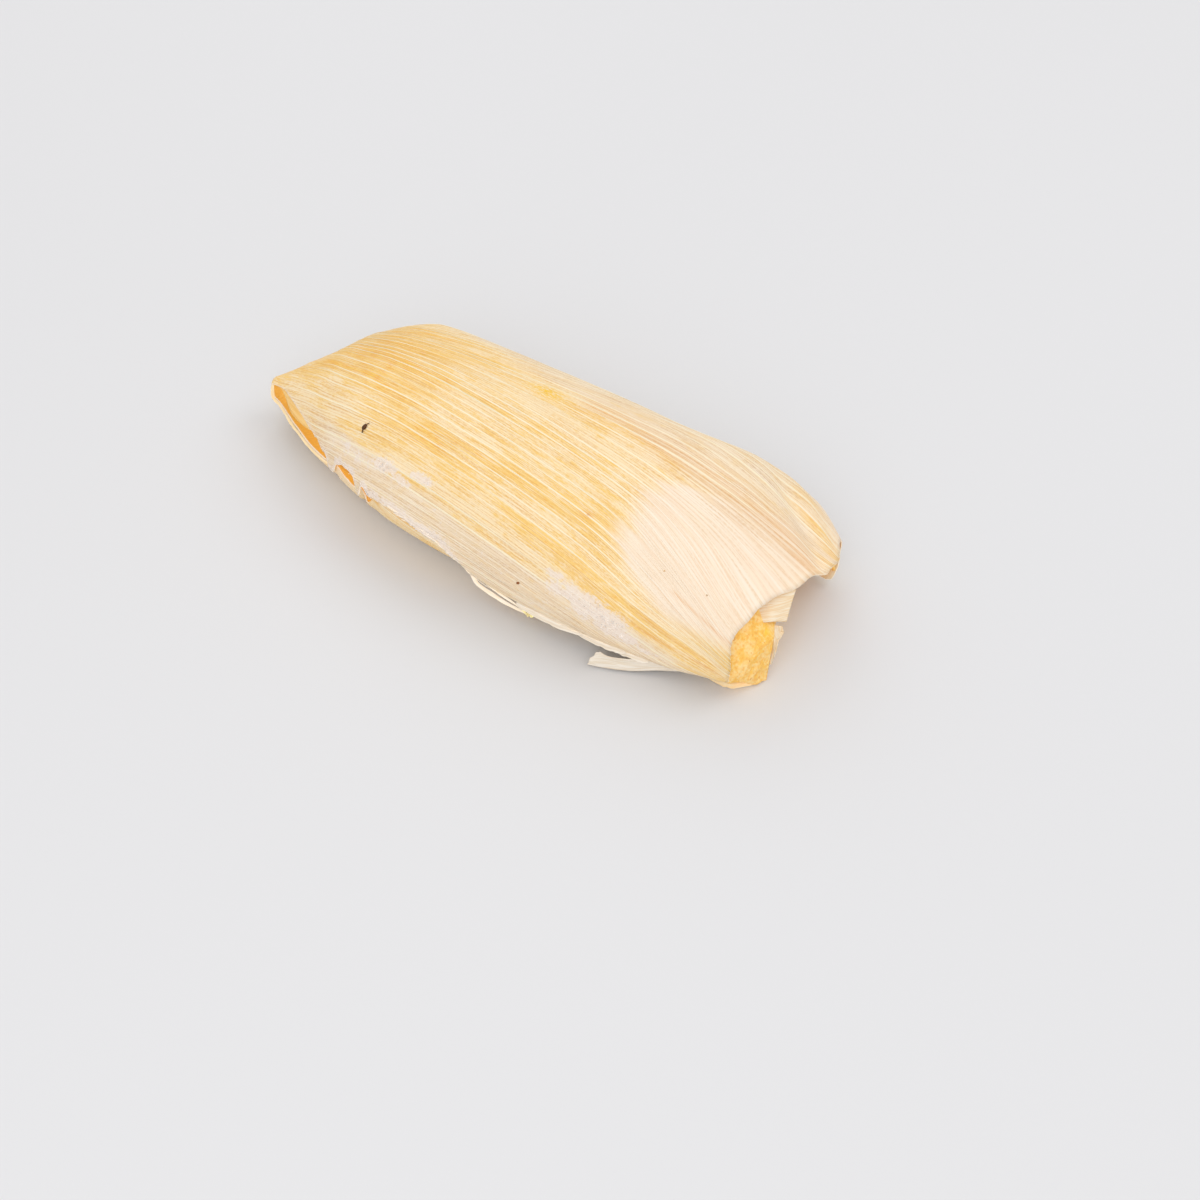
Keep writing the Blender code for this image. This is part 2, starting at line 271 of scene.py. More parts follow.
class Graph:
    """A material's nodes, added one call at a time."""

    def __init__(self, name, roughness):
        self.material = bpy.data.materials.new(name)
        self.material.use_nodes = True
        self.tree = self.material.node_tree
        self.shader = self.tree.nodes["Principled BSDF"]
        self.shader.inputs["Roughness"].default_value = roughness
        self.shader.inputs["Specular IOR Level"].default_value = 0.3

    def put(self, socket, value):
        if isinstance(value, bpy.types.NodeSocket):
            self.tree.links.new(value, socket)
        else:
            socket.default_value = value

    def attribute(self, name):
        node = self.tree.nodes.new("ShaderNodeAttribute")
        node.attribute_name = name
        return node.outputs["Vector"]

    def parts(self, vector):
        node = self.tree.nodes.new("ShaderNodeSeparateXYZ")
        self.put(node.inputs[0], vector)
        return node.outputs

    def noise(self, vector, scale, detail, rough):
        node = self.tree.nodes.new("ShaderNodeTexNoise")
        for name, value in (("Vector", vector), ("Scale", scale), ("Detail", detail),
                            ("Roughness", rough)):
            self.put(node.inputs[name], value)
        return node.outputs["Fac"]

    def space_noise(self, scale, detail=2, rough=0.5):
        """Noise in space, with scale cells to a metre."""
        place = self.tree.nodes.new("ShaderNodeTexCoord").outputs["Object"]
        return self.noise(place, scale, detail, rough)

    def leaf_noise(self, along, across, shift=(0, 0), detail=2, rough=0.5):
        """Noise with so many cells to a millimetre along the leaf and across it."""
        node = self.tree.nodes.new("ShaderNodeVectorMath")
        node.operation = "MULTIPLY_ADD"
        self.put(node.inputs[0], self.attribute("leaf"))
        node.inputs[1].default_value = (along, across, 0)
        node.inputs[2].default_value = (*shift, 0)
        return self.noise(node.outputs["Vector"], 1, detail, rough)

    def math(self, operation, *values):
        node = self.tree.nodes.new("ShaderNodeMath")
        node.operation = operation
        for socket, value in zip(node.inputs, values):
            self.put(socket, value)
        return node.outputs[0]

    def times(self, a, b):
        return self.math("MULTIPLY", a, b)

    def times_plus(self, a, b, c):
        return self.math("MULTIPLY_ADD", a, b, c)

    def swing(self, value, weight, base):
        """base, with a noise's swing about its middle added to it."""
        return self.times_plus(self.math("SUBTRACT", value, 0.5), weight, base)

    def ramp(self, value, low, high, to_low=0, to_high=1):
        node = self.tree.nodes.new("ShaderNodeMapRange")
        node.interpolation_type = "SMOOTHSTEP"
        for name, given in (("Value", value), ("From Min", low), ("From Max", high),
                            ("To Min", to_low), ("To Max", to_high)):
            self.put(node.inputs[name], given)
        return node.outputs["Result"]

    def mix(self, factor, a, b, blend="MIX"):
        node = self.tree.nodes.new("ShaderNodeMix")
        node.data_type = "RGBA"
        node.blend_type = blend
        self.put(node.inputs["Factor"], factor)
        self.put(node.inputs[6], a)
        self.put(node.inputs[7], b)
        return node.outputs[2]

    def between(self, value, low, high, first, second):
        """From one colour to another as a value goes from low to high."""
        return self.mix(self.ramp(value, low, high), rgb(*first), rgb(*second))

    def glow(self, color, strength):
        """Daylight that comes through thin leaf, for faces that no light reaches."""
        self.shader.inputs["Emission Color"].default_value = color
        self.shader.inputs["Emission Strength"].default_value = strength

    def finish(self, color, height=None, strength=0.3, distance=0.0002):
        self.put(self.shader.inputs["Base Color"], color)
        if height is not None:
            bump = self.tree.nodes.new("ShaderNodeBump")
            bump.inputs["Strength"].default_value = strength
            bump.inputs["Distance"].default_value = distance
            self.put(bump.inputs["Height"], height)
            self.put(self.shader.inputs["Normal"], bump.outputs["Normal"])
        return self.material


def leaf_material():
    """The outer leaf: gold panels between pale veins, cream in places and greyish on its front and
    back.
    """
    g = Graph("husk_leaf", 0.6)
    across, yellow = g.parts(g.attribute("leaf"))[1:3]
    gold, pale, grey = g.parts(g.attribute("stain"))
    vein, frost, brown = g.parts(g.attribute("mark"))
    streak = g.leaf_noise(0.035, 1.2)
    patch = g.leaf_noise(0.20, 0.62, (3, 2), detail=4, rough=0.65)
    thread = g.leaf_noise(0.05, 3.2, (2, 9), detail=1)
    hair = g.leaf_noise(0.10, 5, (8, 4), detail=1)
    dash = g.leaf_noise(0.45, 2.6, (5, 1))
    dots = g.leaf_noise(1, 2.8, (1, 6), detail=1)
    powder = g.space_noise(1300, detail=3, rough=0.6)

    # Evenly spaced fine ribs, with a little wander in their lines.
    phase = g.times_plus(across, 2 * np.pi / RIB_PITCH, g.times(streak, 4))
    rib = g.times_plus(g.math("SINE", phase), 0.5, 0.5)

    level = gold
    for field, weight in ((streak, 0.6), (dash, 0.9), (dots, 0.7), (patch, 1.5)):
        level = g.swing(field, weight, level)
    color = g.between(level, 0.15, 0.85, (254, 230, 186), (251, 210, 128))
    deep = g.between(dash, 0.4, 0.6, (249, 200, 84), (247, 186, 88))
    color = g.mix(g.ramp(level, 0.80, 1.45), color, deep)
    pale_color = g.between(streak, 0.35, 0.65, (254, 237, 216), (252, 228, 202))
    color = g.mix(pale, color, pale_color)
    grey_color = g.between(streak, 0.35, 0.65, (251, 234, 210), (241, 216, 183))
    grey_color = g.mix(g.ramp(patch, 0.50, 0.66, 0, 0.6), grey_color, rgb(245, 212, 158))
    color = g.mix(grey, color, grey_color)

    line_color = g.mix(pale, rgb(230, 176, 106), rgb(238, 206, 168))
    line_color = g.mix(grey, line_color, rgb(222, 192, 156))
    fine_dark = g.times(g.ramp(thread, 0.52, 0.62), g.ramp(dots, 0.36, 0.58, 0.35, 1))
    color = g.mix(g.times(fine_dark, g.times_plus(grey, 0.4, 0.55)), color, line_color)
    rib_dark = g.times(g.ramp(rib, 0.62, 0.95), g.ramp(dots, 0.35, 0.6, 0.45, 1))
    color = g.mix(g.times(rib_dark, 0.42), color, line_color)
    color = g.mix(g.times(g.ramp(hair, 0.46, 0.36), 0.45), color, rgb(255, 240, 212))
    # Brown from the mark: a real brown spot and a band along the back, and painted shade in the
    # creases and in the gaps under the ragged edge.
    color = g.mix(g.times(brown, g.ramp(thread, 0.40, 0.58, 0.25, 1)), color, rgb(232, 166, 90))
    vein_color = g.mix(pale, rgb(255, 242, 210), rgb(255, 241, 222))
    color = g.mix(g.times(g.ramp(vein, 0.15, 0.60), 0.92), color, vein_color)
    color = g.mix(g.times(yellow, g.ramp(dots, 0.3, 0.6)), color, rgb(250, 200, 62))
    dust = g.ramp(g.swing(powder, 1.3, frost), 0.22, 0.62)
    color = g.mix(g.times(dust, 0.72), color, rgb(246, 232, 222))
    # Painted shade: a darker tan in the hollows of the powder, where its bump is lowest.
    powder_hollow_shade = g.times(g.times(dust, g.ramp(powder, 0.46, 0.36)), 0.45)
    color = g.mix(powder_hollow_shade, color, rgb(228, 202, 178))

    height = g.times(rib, -0.35)
    for field, weight in ((thread, -0.8), (hair, -0.6), (dots, 0.35), (g.times(powder, dust), 0.5)):
        height = g.times_plus(field, weight, height)
    return g.finish(color, height, strength=0.6, distance=0.00022)


def inside_material(name, light, dark, glow):
    """The leaf's inner face, moist and smooth."""
    g = Graph(name, 0.55)
    streak = g.leaf_noise(0.05, 1.3)
    color = g.between(streak, 0.3, 0.7, light, dark)
    g.glow(rgb(255, 224, 112), glow)
    return g.finish(color, streak, strength=0.4, distance=0.0002)


def edge_material():
    """Torn fibres and cut edges: dry, pale and matte."""
    g = Graph("husk_edge", 0.75)
    streak = g.leaf_noise(0.3, 1.6, detail=3)
    color = g.between(streak, 0.35, 0.65, (253, 243, 227), (248, 230, 204))
    g.glow(rgb(255, 236, 206), 0.12)
    return g.finish(color, streak, strength=0.3, distance=0.00005)


def strip_material(name, light, dark, glow=0):
    """A loose bit of leaf, with veins along it."""
    g = Graph(name, 0.65)
    g.glow(rgb(*light), glow)
    thread = g.leaf_noise(0.2, 4, (4, 2), detail=1)
    lines = g.times_plus(g.leaf_noise(0.10, 1.5), 0.5, g.times(thread, 0.5))
    color = g.between(lines, 0.40, 0.58, light, dark)
    return g.finish(color, lines, strength=0.4, distance=0.00008)


def dough_material():
    """Cooked corn dough: gold, grainy and moist, with bright and brown flecks."""
    g = Graph("corn_dough", 0.6)
    blotch = g.space_noise(330, detail=3)
    grain = g.space_noise(1300, detail=3)
    fine = g.space_noise(900, detail=1)
    color = g.between(blotch, 0.38, 0.62, (250, 210, 136), (247, 195, 92))
    color = g.mix(g.ramp(grain, 0.50, 0.66, 0, 0.6), color, rgb(252, 224, 160))
    color = g.mix(g.ramp(grain, 0.48, 0.36, 0, 0.65), color, rgb(236, 172, 80))
    color = g.mix(g.ramp(fine, 0.70, 0.76, 0, 0.75), color, rgb(206, 142, 66))
    color = g.mix(g.parts(g.attribute("mark"))[0], color, rgb(255, 206, 40))
    g.glow(rgb(250, 190, 90), 0.10)
    height = g.times_plus(grain, 1, g.times(blotch, 0.5))
    return g.finish(color, height, strength=0.6, distance=0.0004)


def plain_material(name, color, roughness=0.7, glow=0):
    """A small bit of one colour, slightly mottled."""
    g = Graph(name, roughness)
    g.glow(rgb(*color), glow)
    shade = g.space_noise(900)
    light = rgb(*[min(255, round(value * 1.06)) for value in color])
    dark = rgb(*[round(value * 0.86) for value in color])
    return g.finish(g.mix(g.ramp(shade, 0.35, 0.65), light, dark), shade,
                    strength=0.2, distance=0.00003)


# ---- Mesh helpers -----------------------------------------------------------
def mesh_object(name, points, faces, materials, fields=None):
    """A smooth mesh from points in millimetres, with vector fields on its points."""
    mesh = bpy.data.meshes.new(name)
    mesh.from_pydata((np.asarray(points).reshape(-1, 3) * MM).tolist(), [], faces)
    for material in materials:
        mesh.materials.append(material)
    for label, values in (fields or {}).items():
        made = mesh.attributes.new(label, "FLOAT_VECTOR", "POINT")
        made.data.foreach_set("vector", np.asarray(values, dtype=np.float32).ravel())
    mesh.shade_smooth()
    obj = bpy.data.objects.new(name, mesh)
    bpy.context.scene.collection.objects.link(obj)
    return obj


def thicken(obj, thickness, inner=0, rim=0):
    """Solidify a sheet inward from its outer face."""
    modifier = obj.modifiers.new("leaf_thickness", "SOLIDIFY")
    modifier.thickness = thickness * MM
    modifier.offset = -1
    modifier.material_offset = inner
    modifier.material_offset_rim = rim


def piece(obj, node):
    """Put a piece in the frame: on the one body, and hide the CAD node it stands for, if any."""
    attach(obj, "root")
    if node:
        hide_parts(node)


def pleats(columns, height):
    """Small folds across a grid: one column up, the next down."""
    return height * np.where(np.arange(columns) % 2 == 0, 1, -1)


def grid_faces(rows, columns, closed=False):
    spans = columns if closed else columns - 1
    return [(r * columns + c, (r + 1) * columns + c,
             (r + 1) * columns + (c + 1) % columns, r * columns + (c + 1) % columns)
            for r in range(rows - 1) for c in range(spans)]


def make_sheet(name, points, leaf, thickness, material, node):
    """A thin bit of leaf over a grid of points."""
    fields = {"leaf": np.stack(leaf, axis=-1)}
    sheet = mesh_object(name, points, grid_faces(*points.shape[:2]), [material], fields)
    thicken(sheet, thickness)
    piece(sheet, node)


class Scatter:
    """Many small closed shapes joined in one mesh."""

    def __init__(self):
        self.points, self.faces, self.leaf = [], [], []

    def add(self, points, faces, leaf=None):
        first = len(self.points)
        self.points.extend(np.asarray(points).tolist())
        self.faces.extend(tuple(first + int(k) for k in face) for face in faces)
        self.leaf.extend(np.zeros((len(points), 3)).tolist() if leaf is None else leaf.tolist())

    def strand(self, path, width, thickness, facing, taper=0.15, seed=0):
        """A flat fibre along a path, narrowing to both ends."""
        path = np.asarray(path, dtype=float)
        rows = len(path)
        share = evenly(rows)
        along = np.gradient(path, axis=0)
        along /= np.linalg.norm(along, axis=1, keepdims=True)
        side = np.cross(along, np.asarray(facing, dtype=float))
        side /= np.maximum(np.linalg.norm(side, axis=1, keepdims=True), 1e-9)
        up = np.cross(side, along)
        slim = taper + (1 - taper) * np.sin(np.pi * share) ** 0.5
        slim = (slim * (1 + 0.12 * wander(share * rows, 2.3, seed)))[:, None]
        half, deep = 0.5 * width * slim, 0.5 * thickness * slim
        ring = [path + side * half, path + up * deep, path - side * half, path - up * deep]
        points = np.stack(ring, axis=1).reshape(-1, 3)
        faces = [(r * 4 + k, r * 4 + (k + 1) % 4, (r + 1) * 4 + (k + 1) % 4, (r + 1) * 4 + k)
                 for r in range(rows - 1) for k in range(4)]
        faces += [(3, 2, 1, 0), tuple(4 * (rows - 1) + k for k in range(4))]
        length = np.repeat(share * rows * 0.5, 4)
        leaf = np.stack([length, np.tile([0.5, 0, -0.5, 0], rows) * width, 0 * length], axis=-1)
        self.add(points, faces, leaf)

    def lump(self, center, size, rng):
        """An uneven grain."""
        swell = 1 + UNEVEN * rng.uniform(-1, 1, (len(BALL_POINTS), 1))
        turn = np.linalg.qr(rng.normal(size=(3, 3)))[0]
        if np.linalg.det(turn) < 0:
            turn[:, 0] *= -1
        self.add((BALL_POINTS * swell) @ turn * size + center, BALL_FACES)

    def build(self, name, material, flat=False):
        obj = mesh_object(name, self.points, self.faces, [material], {"leaf": self.leaf})
        if flat:
            obj.data.shade_flat()
        piece(obj, None)


def unit_ball():
    """The points and faces of a ball of 20 triangles."""
    ball = bmesh.new()
    bmesh.ops.create_icosphere(ball, subdivisions=1, radius=1)
    ball.verts.index_update()
    points = np.array([vertex.co[:] for vertex in ball.verts])
    faces = [tuple(vertex.index for vertex in face.verts) for face in ball.faces]
    ball.free()
    return points, faces


BALL_POINTS, BALL_FACES = unit_ball()
UNEVEN = 0.3                # how much a grain's points stray from its ball


# ---- The outer leaf ---------------------------------------------------------
# Veins are the streamlines of vein_slope.  They drift toward the front along the leaf,
# most of all at the closed end, and fan out over the pale panel at the open end.
DRIFT = 0.20
BACK_TURN = 0.35
TIP_TURN = 0.018
TIP_TURN_FROM = -40
RIB_PITCH = 0.72
EDGE_LIFT = 0.5

FRONT_SHOULDER = ((30, 72), (51.5, 41), (63, 33))
BACK_VALLEY = ((44, 152), (57, 122), (71, 101))
PALE_INSIDE_FROM = 20       # the leaf's inner face is deep gold before this, pale after it
PALE_FROM = ((20, 46), (30, 42), (35, 40.5), (41, 35.5), (59, 30.5), (75, 28.5), (88, 32),
             (96, 48), (105, 57), (120, 60), (180, 62))
FRONT_BAND_TOP = ((-60, 34), (-35, 31), (-10, 24), (10, 20), (30, 13), (45, 4), (58, -8), (66, -18))
GREY_FROM = ((-45, 150), (-23, 128), (0, 117), (22, 105), (30, 100), (40, 96), (48, 93), (55, 92),
             (73, 90))
BROWN_SPOT = (22.5, 59)
# Spots of more gold and of less: (x, angle), length, width and strength.
GOLD_SPOTS = (((-54, 104), 15, 14, 0.6), ((-36, 102), 13, 9, 0.45), ((-34, 76), 9, 6, 0.35),
              ((-20, 55), 12, 6, 0.25), ((-3, 66), 16, 7, 0.2), ((8, 50), 14, 5, 0.05),
              ((23, 56), 8, 5, 0.15), ((-30, 50), 10, 5, 0.2), ((-63, 80), 9, 9, 0.3),
              ((-12, 84), 12, 5, 0.1), ((-44, 84), 12, 6, 0.25), ((-62, 42), 8, 8, -0.2),
              ((-48, 36), 10, 5, -0.15), ((0, 96), 26, 9, -0.1), ((24, 84), 14, 9, -0.15),
              ((-2, 36), 20, 5, -0.15))
GOLD_BAND = ((4, 42), (21, 32), (43, 20), (64, 8))
END_GOLD = ((63, 134), (67, 126), (70, 118), (74, 108))
# A grey line of painted shade beside the back valley: (x, angle) marks.
BACK_GREY = ((48, 125), (54, 123), (58, 115), (63, 109), (69, 102))
BACK_LINES = ((8, 112), (22, 108), (35, 104), (47, 101), (58, 100), (67, 96))
CORNER_GOLD = ((53, -9), (63, -15))
# Lines of painted shade along the creases at the front of the open end: (x, angle) marks.
CREASE_LINES = (((39, 12), (46.5, 9), (63, 1)), ((47, 43), (54, 38), (63.5, 30)),
                ((44, 20), (56, 11), (63, 6)))
YELLOW_SPOT = (-4, 107)
FROST_SPOTS = (((-27, 29), 4.2, 2.2, 1), ((-17, 34), 3.4, 1.7, 1), ((-22, 26), 4, 1.6, 0.5),
               ((-38, 22), 6, 2.5, 0.35), ((22, 21), 2.8, 1.4, 0.75), ((26.5, 14), 4.5, 3.2, 1),
               ((31.5, 9), 4.8, 4.5, 1.1), ((36.5, 4), 4.8, 4.2, 1.1), ((40.5, -1), 3.8, 2.8, 1),
               ((45.5, -8), 4, 1.8, 0.6))

front_band_top = smooth_profile(FRONT_BAND_TOP)
grey_from = smooth_profile(GREY_FROM)
pale_from = smooth_profile(PALE_FROM)


def torn_offset(x):
    """How far the torn edge strays above its line, in millimetres."""
    ragged = window(x, (-62, -52), (55, 62))
    jag = 0.40 * wander(x, 1.9, 11) + 0.30 * wander(x, 0.8, 12)
    return ragged * jag


def vein_slope(x, arc):
    """How far a vein moves round the leaf for each millimetre along it."""
    slope = -DRIFT - TIP_TURN * np.clip(TIP_TURN_FROM - x, 0, 26)
    turn = BACK_TURN * (1 - 0.43 * smooth_step(36, 56, arc))
    slope = slope + turn * smooth_step(-4, 30, arc) * smooth_step(-62, -38, x)
    shoulder = -0.15 * bell(arc + 14, 6.5)
    corner = (0.08 + 0.25 * smooth_step(40, 60, x)) * smooth_step(-24, -33, arc)
    valley = -0.34 * smooth_step(7, 20, arc) * smooth_step(48, 30, arc)
    crown = 0.10 * bell(arc - 3, 5) * smooth_step(42, 56, x)
    return slope + (shoulder + corner + valley + crown) * smooth_step(20, 40, x)


VEIN_REACH = 74
VEIN_NAMES = np.arange(-90, 190, 1)       # a vein's name is its place at x = 0


def trace_veins():
    """Where each vein lies round the leaf, at every millimetre along it."""
    lines = {0: VEIN_NAMES}
    for way in (-1, 1):
        for k in range(way * VEIN_REACH, 0, -way)[::-1]:
            start = lines[k - way]
            middle = start + 0.5 * way * vein_slope(k - way, start)
            lines[k] = start + way * vein_slope(k - 0.5 * way, middle)
    return np.array([lines[k] for k in range(-VEIN_REACH, VEIN_REACH + 1)])


VEIN_LINES = trace_veins()


def vein_table(x):
    """Angles round the leaf at x, and the vein coordinate of each."""
    angle = np.arange(torn_edge(x) - 25, tucked_edge(x) + 12, 0.25)
    points = body_point(x, angle)
    steps = np.linalg.norm(np.diff(points, axis=0), axis=1)
    arc = np.concatenate([[0], np.cumsum(steps)])
    arc = arc - np.interp(90, angle, arc)
    row = min(int(x + VEIN_REACH), 2 * VEIN_REACH - 1)
    share = x + VEIN_REACH - row
    lines = VEIN_LINES[row] * (1 - share) + VEIN_LINES[row + 1] * share
    return angle, np.interp(arc, lines, VEIN_NAMES)


def lay_columns():
    """The mesh's columns across the leaf: their places, vein strengths and panel numbers."""
    rng = np.random.default_rng(5)
    place, bold, panel = [], [], []
    at = -FRONT_SPAN
    number = 0
    while at < BACK_SPAN:
        under = at > FINE_TO
        gap = UNDER_GAP if under else rng.uniform(*VEIN_GAP)
        pitch = UNDER_PITCH if under else FILL_PITCH
        steps = max(2, round((gap - 2 * VEIN_HALF) / pitch) + 1)
        fill = np.linspace(at + VEIN_HALF, at + gap - VEIN_HALF, steps)
        place += [at, *fill]
        bold += [rng.uniform(0.5, 1)] + [0] * steps
        panel += [number] * (steps + 1)
        at += gap
        number += 1
    return np.array(place), np.array(bold), np.array(panel)


def lay_rows():
    """The x of the mesh's rows, closest together at the closed end."""
    stops = (TIP_X, *ROW_STARTS, END_X)
    spans = []
    for start, end, pitch in zip(stops[:-1], stops[1:], ROW_PITCHES):
        spans.append(np.linspace(start, end, round((end - start) / pitch), endpoint=False))
    return np.concatenate([*spans, [END_X]])


def frost_field(x, angle, vein):
    """How much dried masa powders the leaf."""
    total = np.zeros_like(x)
    for mark, length, width, strength in FROST_SPOTS:
        total = np.maximum(total, strength * spot(x, angle, mark, length, width))
    band = window(x, (-50, -44), (-6, 2))
    total = np.maximum(total, 0.55 * band * bell(above_torn(x, angle) - 0.8, 1.5))
    low = smooth_step(4, -6, angle - front_band_top(x)) * window(x, (-56, -46), (20, 34))
    total = total + 0.16 * low
    rough = 0.35 * clouds(x / 2.2, vein / 1.5, 31) + 0.25 * clouds(x / 0.9, vein / 0.8, 32)
    return np.clip(total * (1 + rough) + 0.12 * rough * low, 0, 1)


def leaf_relief(x, angle, vein, ridge):
    """Height of the leaf's surface above its smooth form."""
    soft = 0.25 + 0.75 * smooth_step(-72, -54, x)
    soft = soft * (1 - 0.60 * smooth_step(18, 45, x))
    relief = ridge * soft * (0.75 + 0.25 * clouds(x / 14, vein / 1.1, 21))
    relief = relief + 0.18 * clouds(x / 34, vein / 5.5, 22) + 0.09 * clouds(x / 11, vein / 2.4, 23)
    beyond = [(px + 5, pa + 10) for px, pa in BACK_VALLEY]
    for path, width, height, rise in ((FRONT_SHOULDER, 1.6, 0.30, (30, 50)),
                                      (BACK_VALLEY, 2.2, -0.65, (42, 58)),
                                      (beyond, 2.6, 0.45, (44, 60))):
        relief = relief + height * near_path(x, angle, path, width) * smooth_step(*rise, x)
    relief = relief - 0.4 * spot(x, angle, (60, 68), 12, 8)
    lift = 0.55 + 0.45 * wander(x, 4.2, 25) + 0.12 * wander(x, 1.6, 26)
    at_edge = window(x, (-50, -45), (-2, 6)) * bell(above_torn(x, angle), 1.8)
    relief = relief + EDGE_LIFT * lift * at_edge
    return relief + 0.10 * frost_field(x, angle, vein) * (0.8 + 0.2 * clouds(x / 1.1, vein / 1, 24))


def gap_shade(x, angle):
    """Painted shade: the deep gold seen in the gaps just below the ragged edge."""
    line = window(x, (-31, -28), (-16, -8)) * bell(above_torn(x, angle - 360) + 3.5, 1.1)
    return line * np.clip(0.5 + 0.9 * wander(x, 2.4, 54), 0, 1)


def leaf_stains(x, angle, vein, panel):
    """Gold, pale and grey shares of the leaf's colour."""
    gold = 0.46 + 0.10 * clouds(x / 22, vein / 7, 41)
    gold = gold + 0.24 * clouds(x / 19 + 90, panel, 47) + 0.20 * clouds(x / 6.5 + 90, panel, 48)
    for mark, length, width, strength in GOLD_SPOTS:
        gold = gold + strength * spot(x, angle, mark, length, width)
    gold = gold + 0.28 * near_path(x, angle, GOLD_BAND, 1.5) * (0.6 + 0.4 * clouds(x / 9, panel, 49))
    jag = 2.2 * clouds(x * 0 + 3, panel, 43) + 1.6 * wander(vein, 1.3, 44)
    pale = smooth_step(-2.5, 5, x - pale_from(angle) + jag)
    pale = pale * smooth_step(18, 34, angle) * smooth_step(185, 150, angle)
    below = smooth_step(3, -5, angle - front_band_top(x) + 4 * clouds(x / 12, panel, 45))
    front = below * window(x, (-58, -44), (62, 72))
    behind = smooth_step(-5, 6, angle - grey_from(x) + 5 * clouds(x / 14, panel, 46))
    behind = behind * smooth_step(-48, -24, x)
    tucked = smooth_step(318, 330, angle)
    grey = np.clip(0.9 * front + 0.75 * behind * smooth_step(71, 64, x), 0, 1)
    grey = grey * (1 - tucked)
    # Painted shade: a grey line beside the back valley.
    grey = np.clip(grey + 0.6 * near_path(x, angle, BACK_GREY, 1.5), 0, 1)
    streaks = 0.9 * near_path(x, angle, END_GOLD, 8) + near_path(x, angle, CORNER_GOLD, 1.6)
    streaks = np.clip(streaks * (0.8 + 0.5 * clouds(x / 9, panel, 50)), 0, 1)
    # gap_shade adds painted shade, deep gold in the gaps under the ragged edge.
    gold = gold + 0.5 * streaks - 0.25 * tucked + 1.2 * gap_shade(x, angle)
    pale = pale * (1 - 0.85 * streaks)
    grey = grey * (1 - streaks)
    edge = above_torn(x, angle)
    fringe = smooth_step(-6, 4, x) * np.exp(-(edge / 1.7) ** 4)
    rolled = window(x, (-74, -73), (-50, -44)) * bell(edge, 2.2)
    # Painted light: the underside near the closed end is made paler, against the shade that falls on
    # it.
    under = smooth_step(290, 315, angle) * smooth_step(-34, -44, x)
    pale = np.clip(pale + 0.9 * fringe + 0.8 * rolled + 0.35 * under, 0, 1)
    return np.clip(gold, 0, 1.6), pale, grey


def merge_columns(vein):
    """The leaf's grid, its columns past an edge sharing that edge's point.

    Returns the (row, column) of each point kept, and the faces between those points.
    """
    row_count, count = vein.shape
    number = np.empty(vein.shape, dtype=int)
    keep = []
    for r in range(row_count):
        last = None
        for c in range(count):
            if last is None or vein[r, c] - vein[r, last] > 1e-6:
                keep.append((r, c))
                last = c
            number[r, c] = len(keep) - 1
    faces = []
    for r in range(row_count - 1):
        for c in range(count - 1):
            corner = (number[r, c], number[r + 1, c], number[r + 1, c + 1], number[r, c + 1])
            face = tuple(dict.fromkeys(int(k) for k in corner))
            if len(face) >= 3:
                faces.append(face)
    tip = list(dict.fromkeys(int(k) for k in number[0]))
    for k in range(len(tip) // 2 - 1):
        faces.append((tip[k], tip[k + 1], tip[-2 - k], tip[-1 - k]))
    return np.array(keep), faces


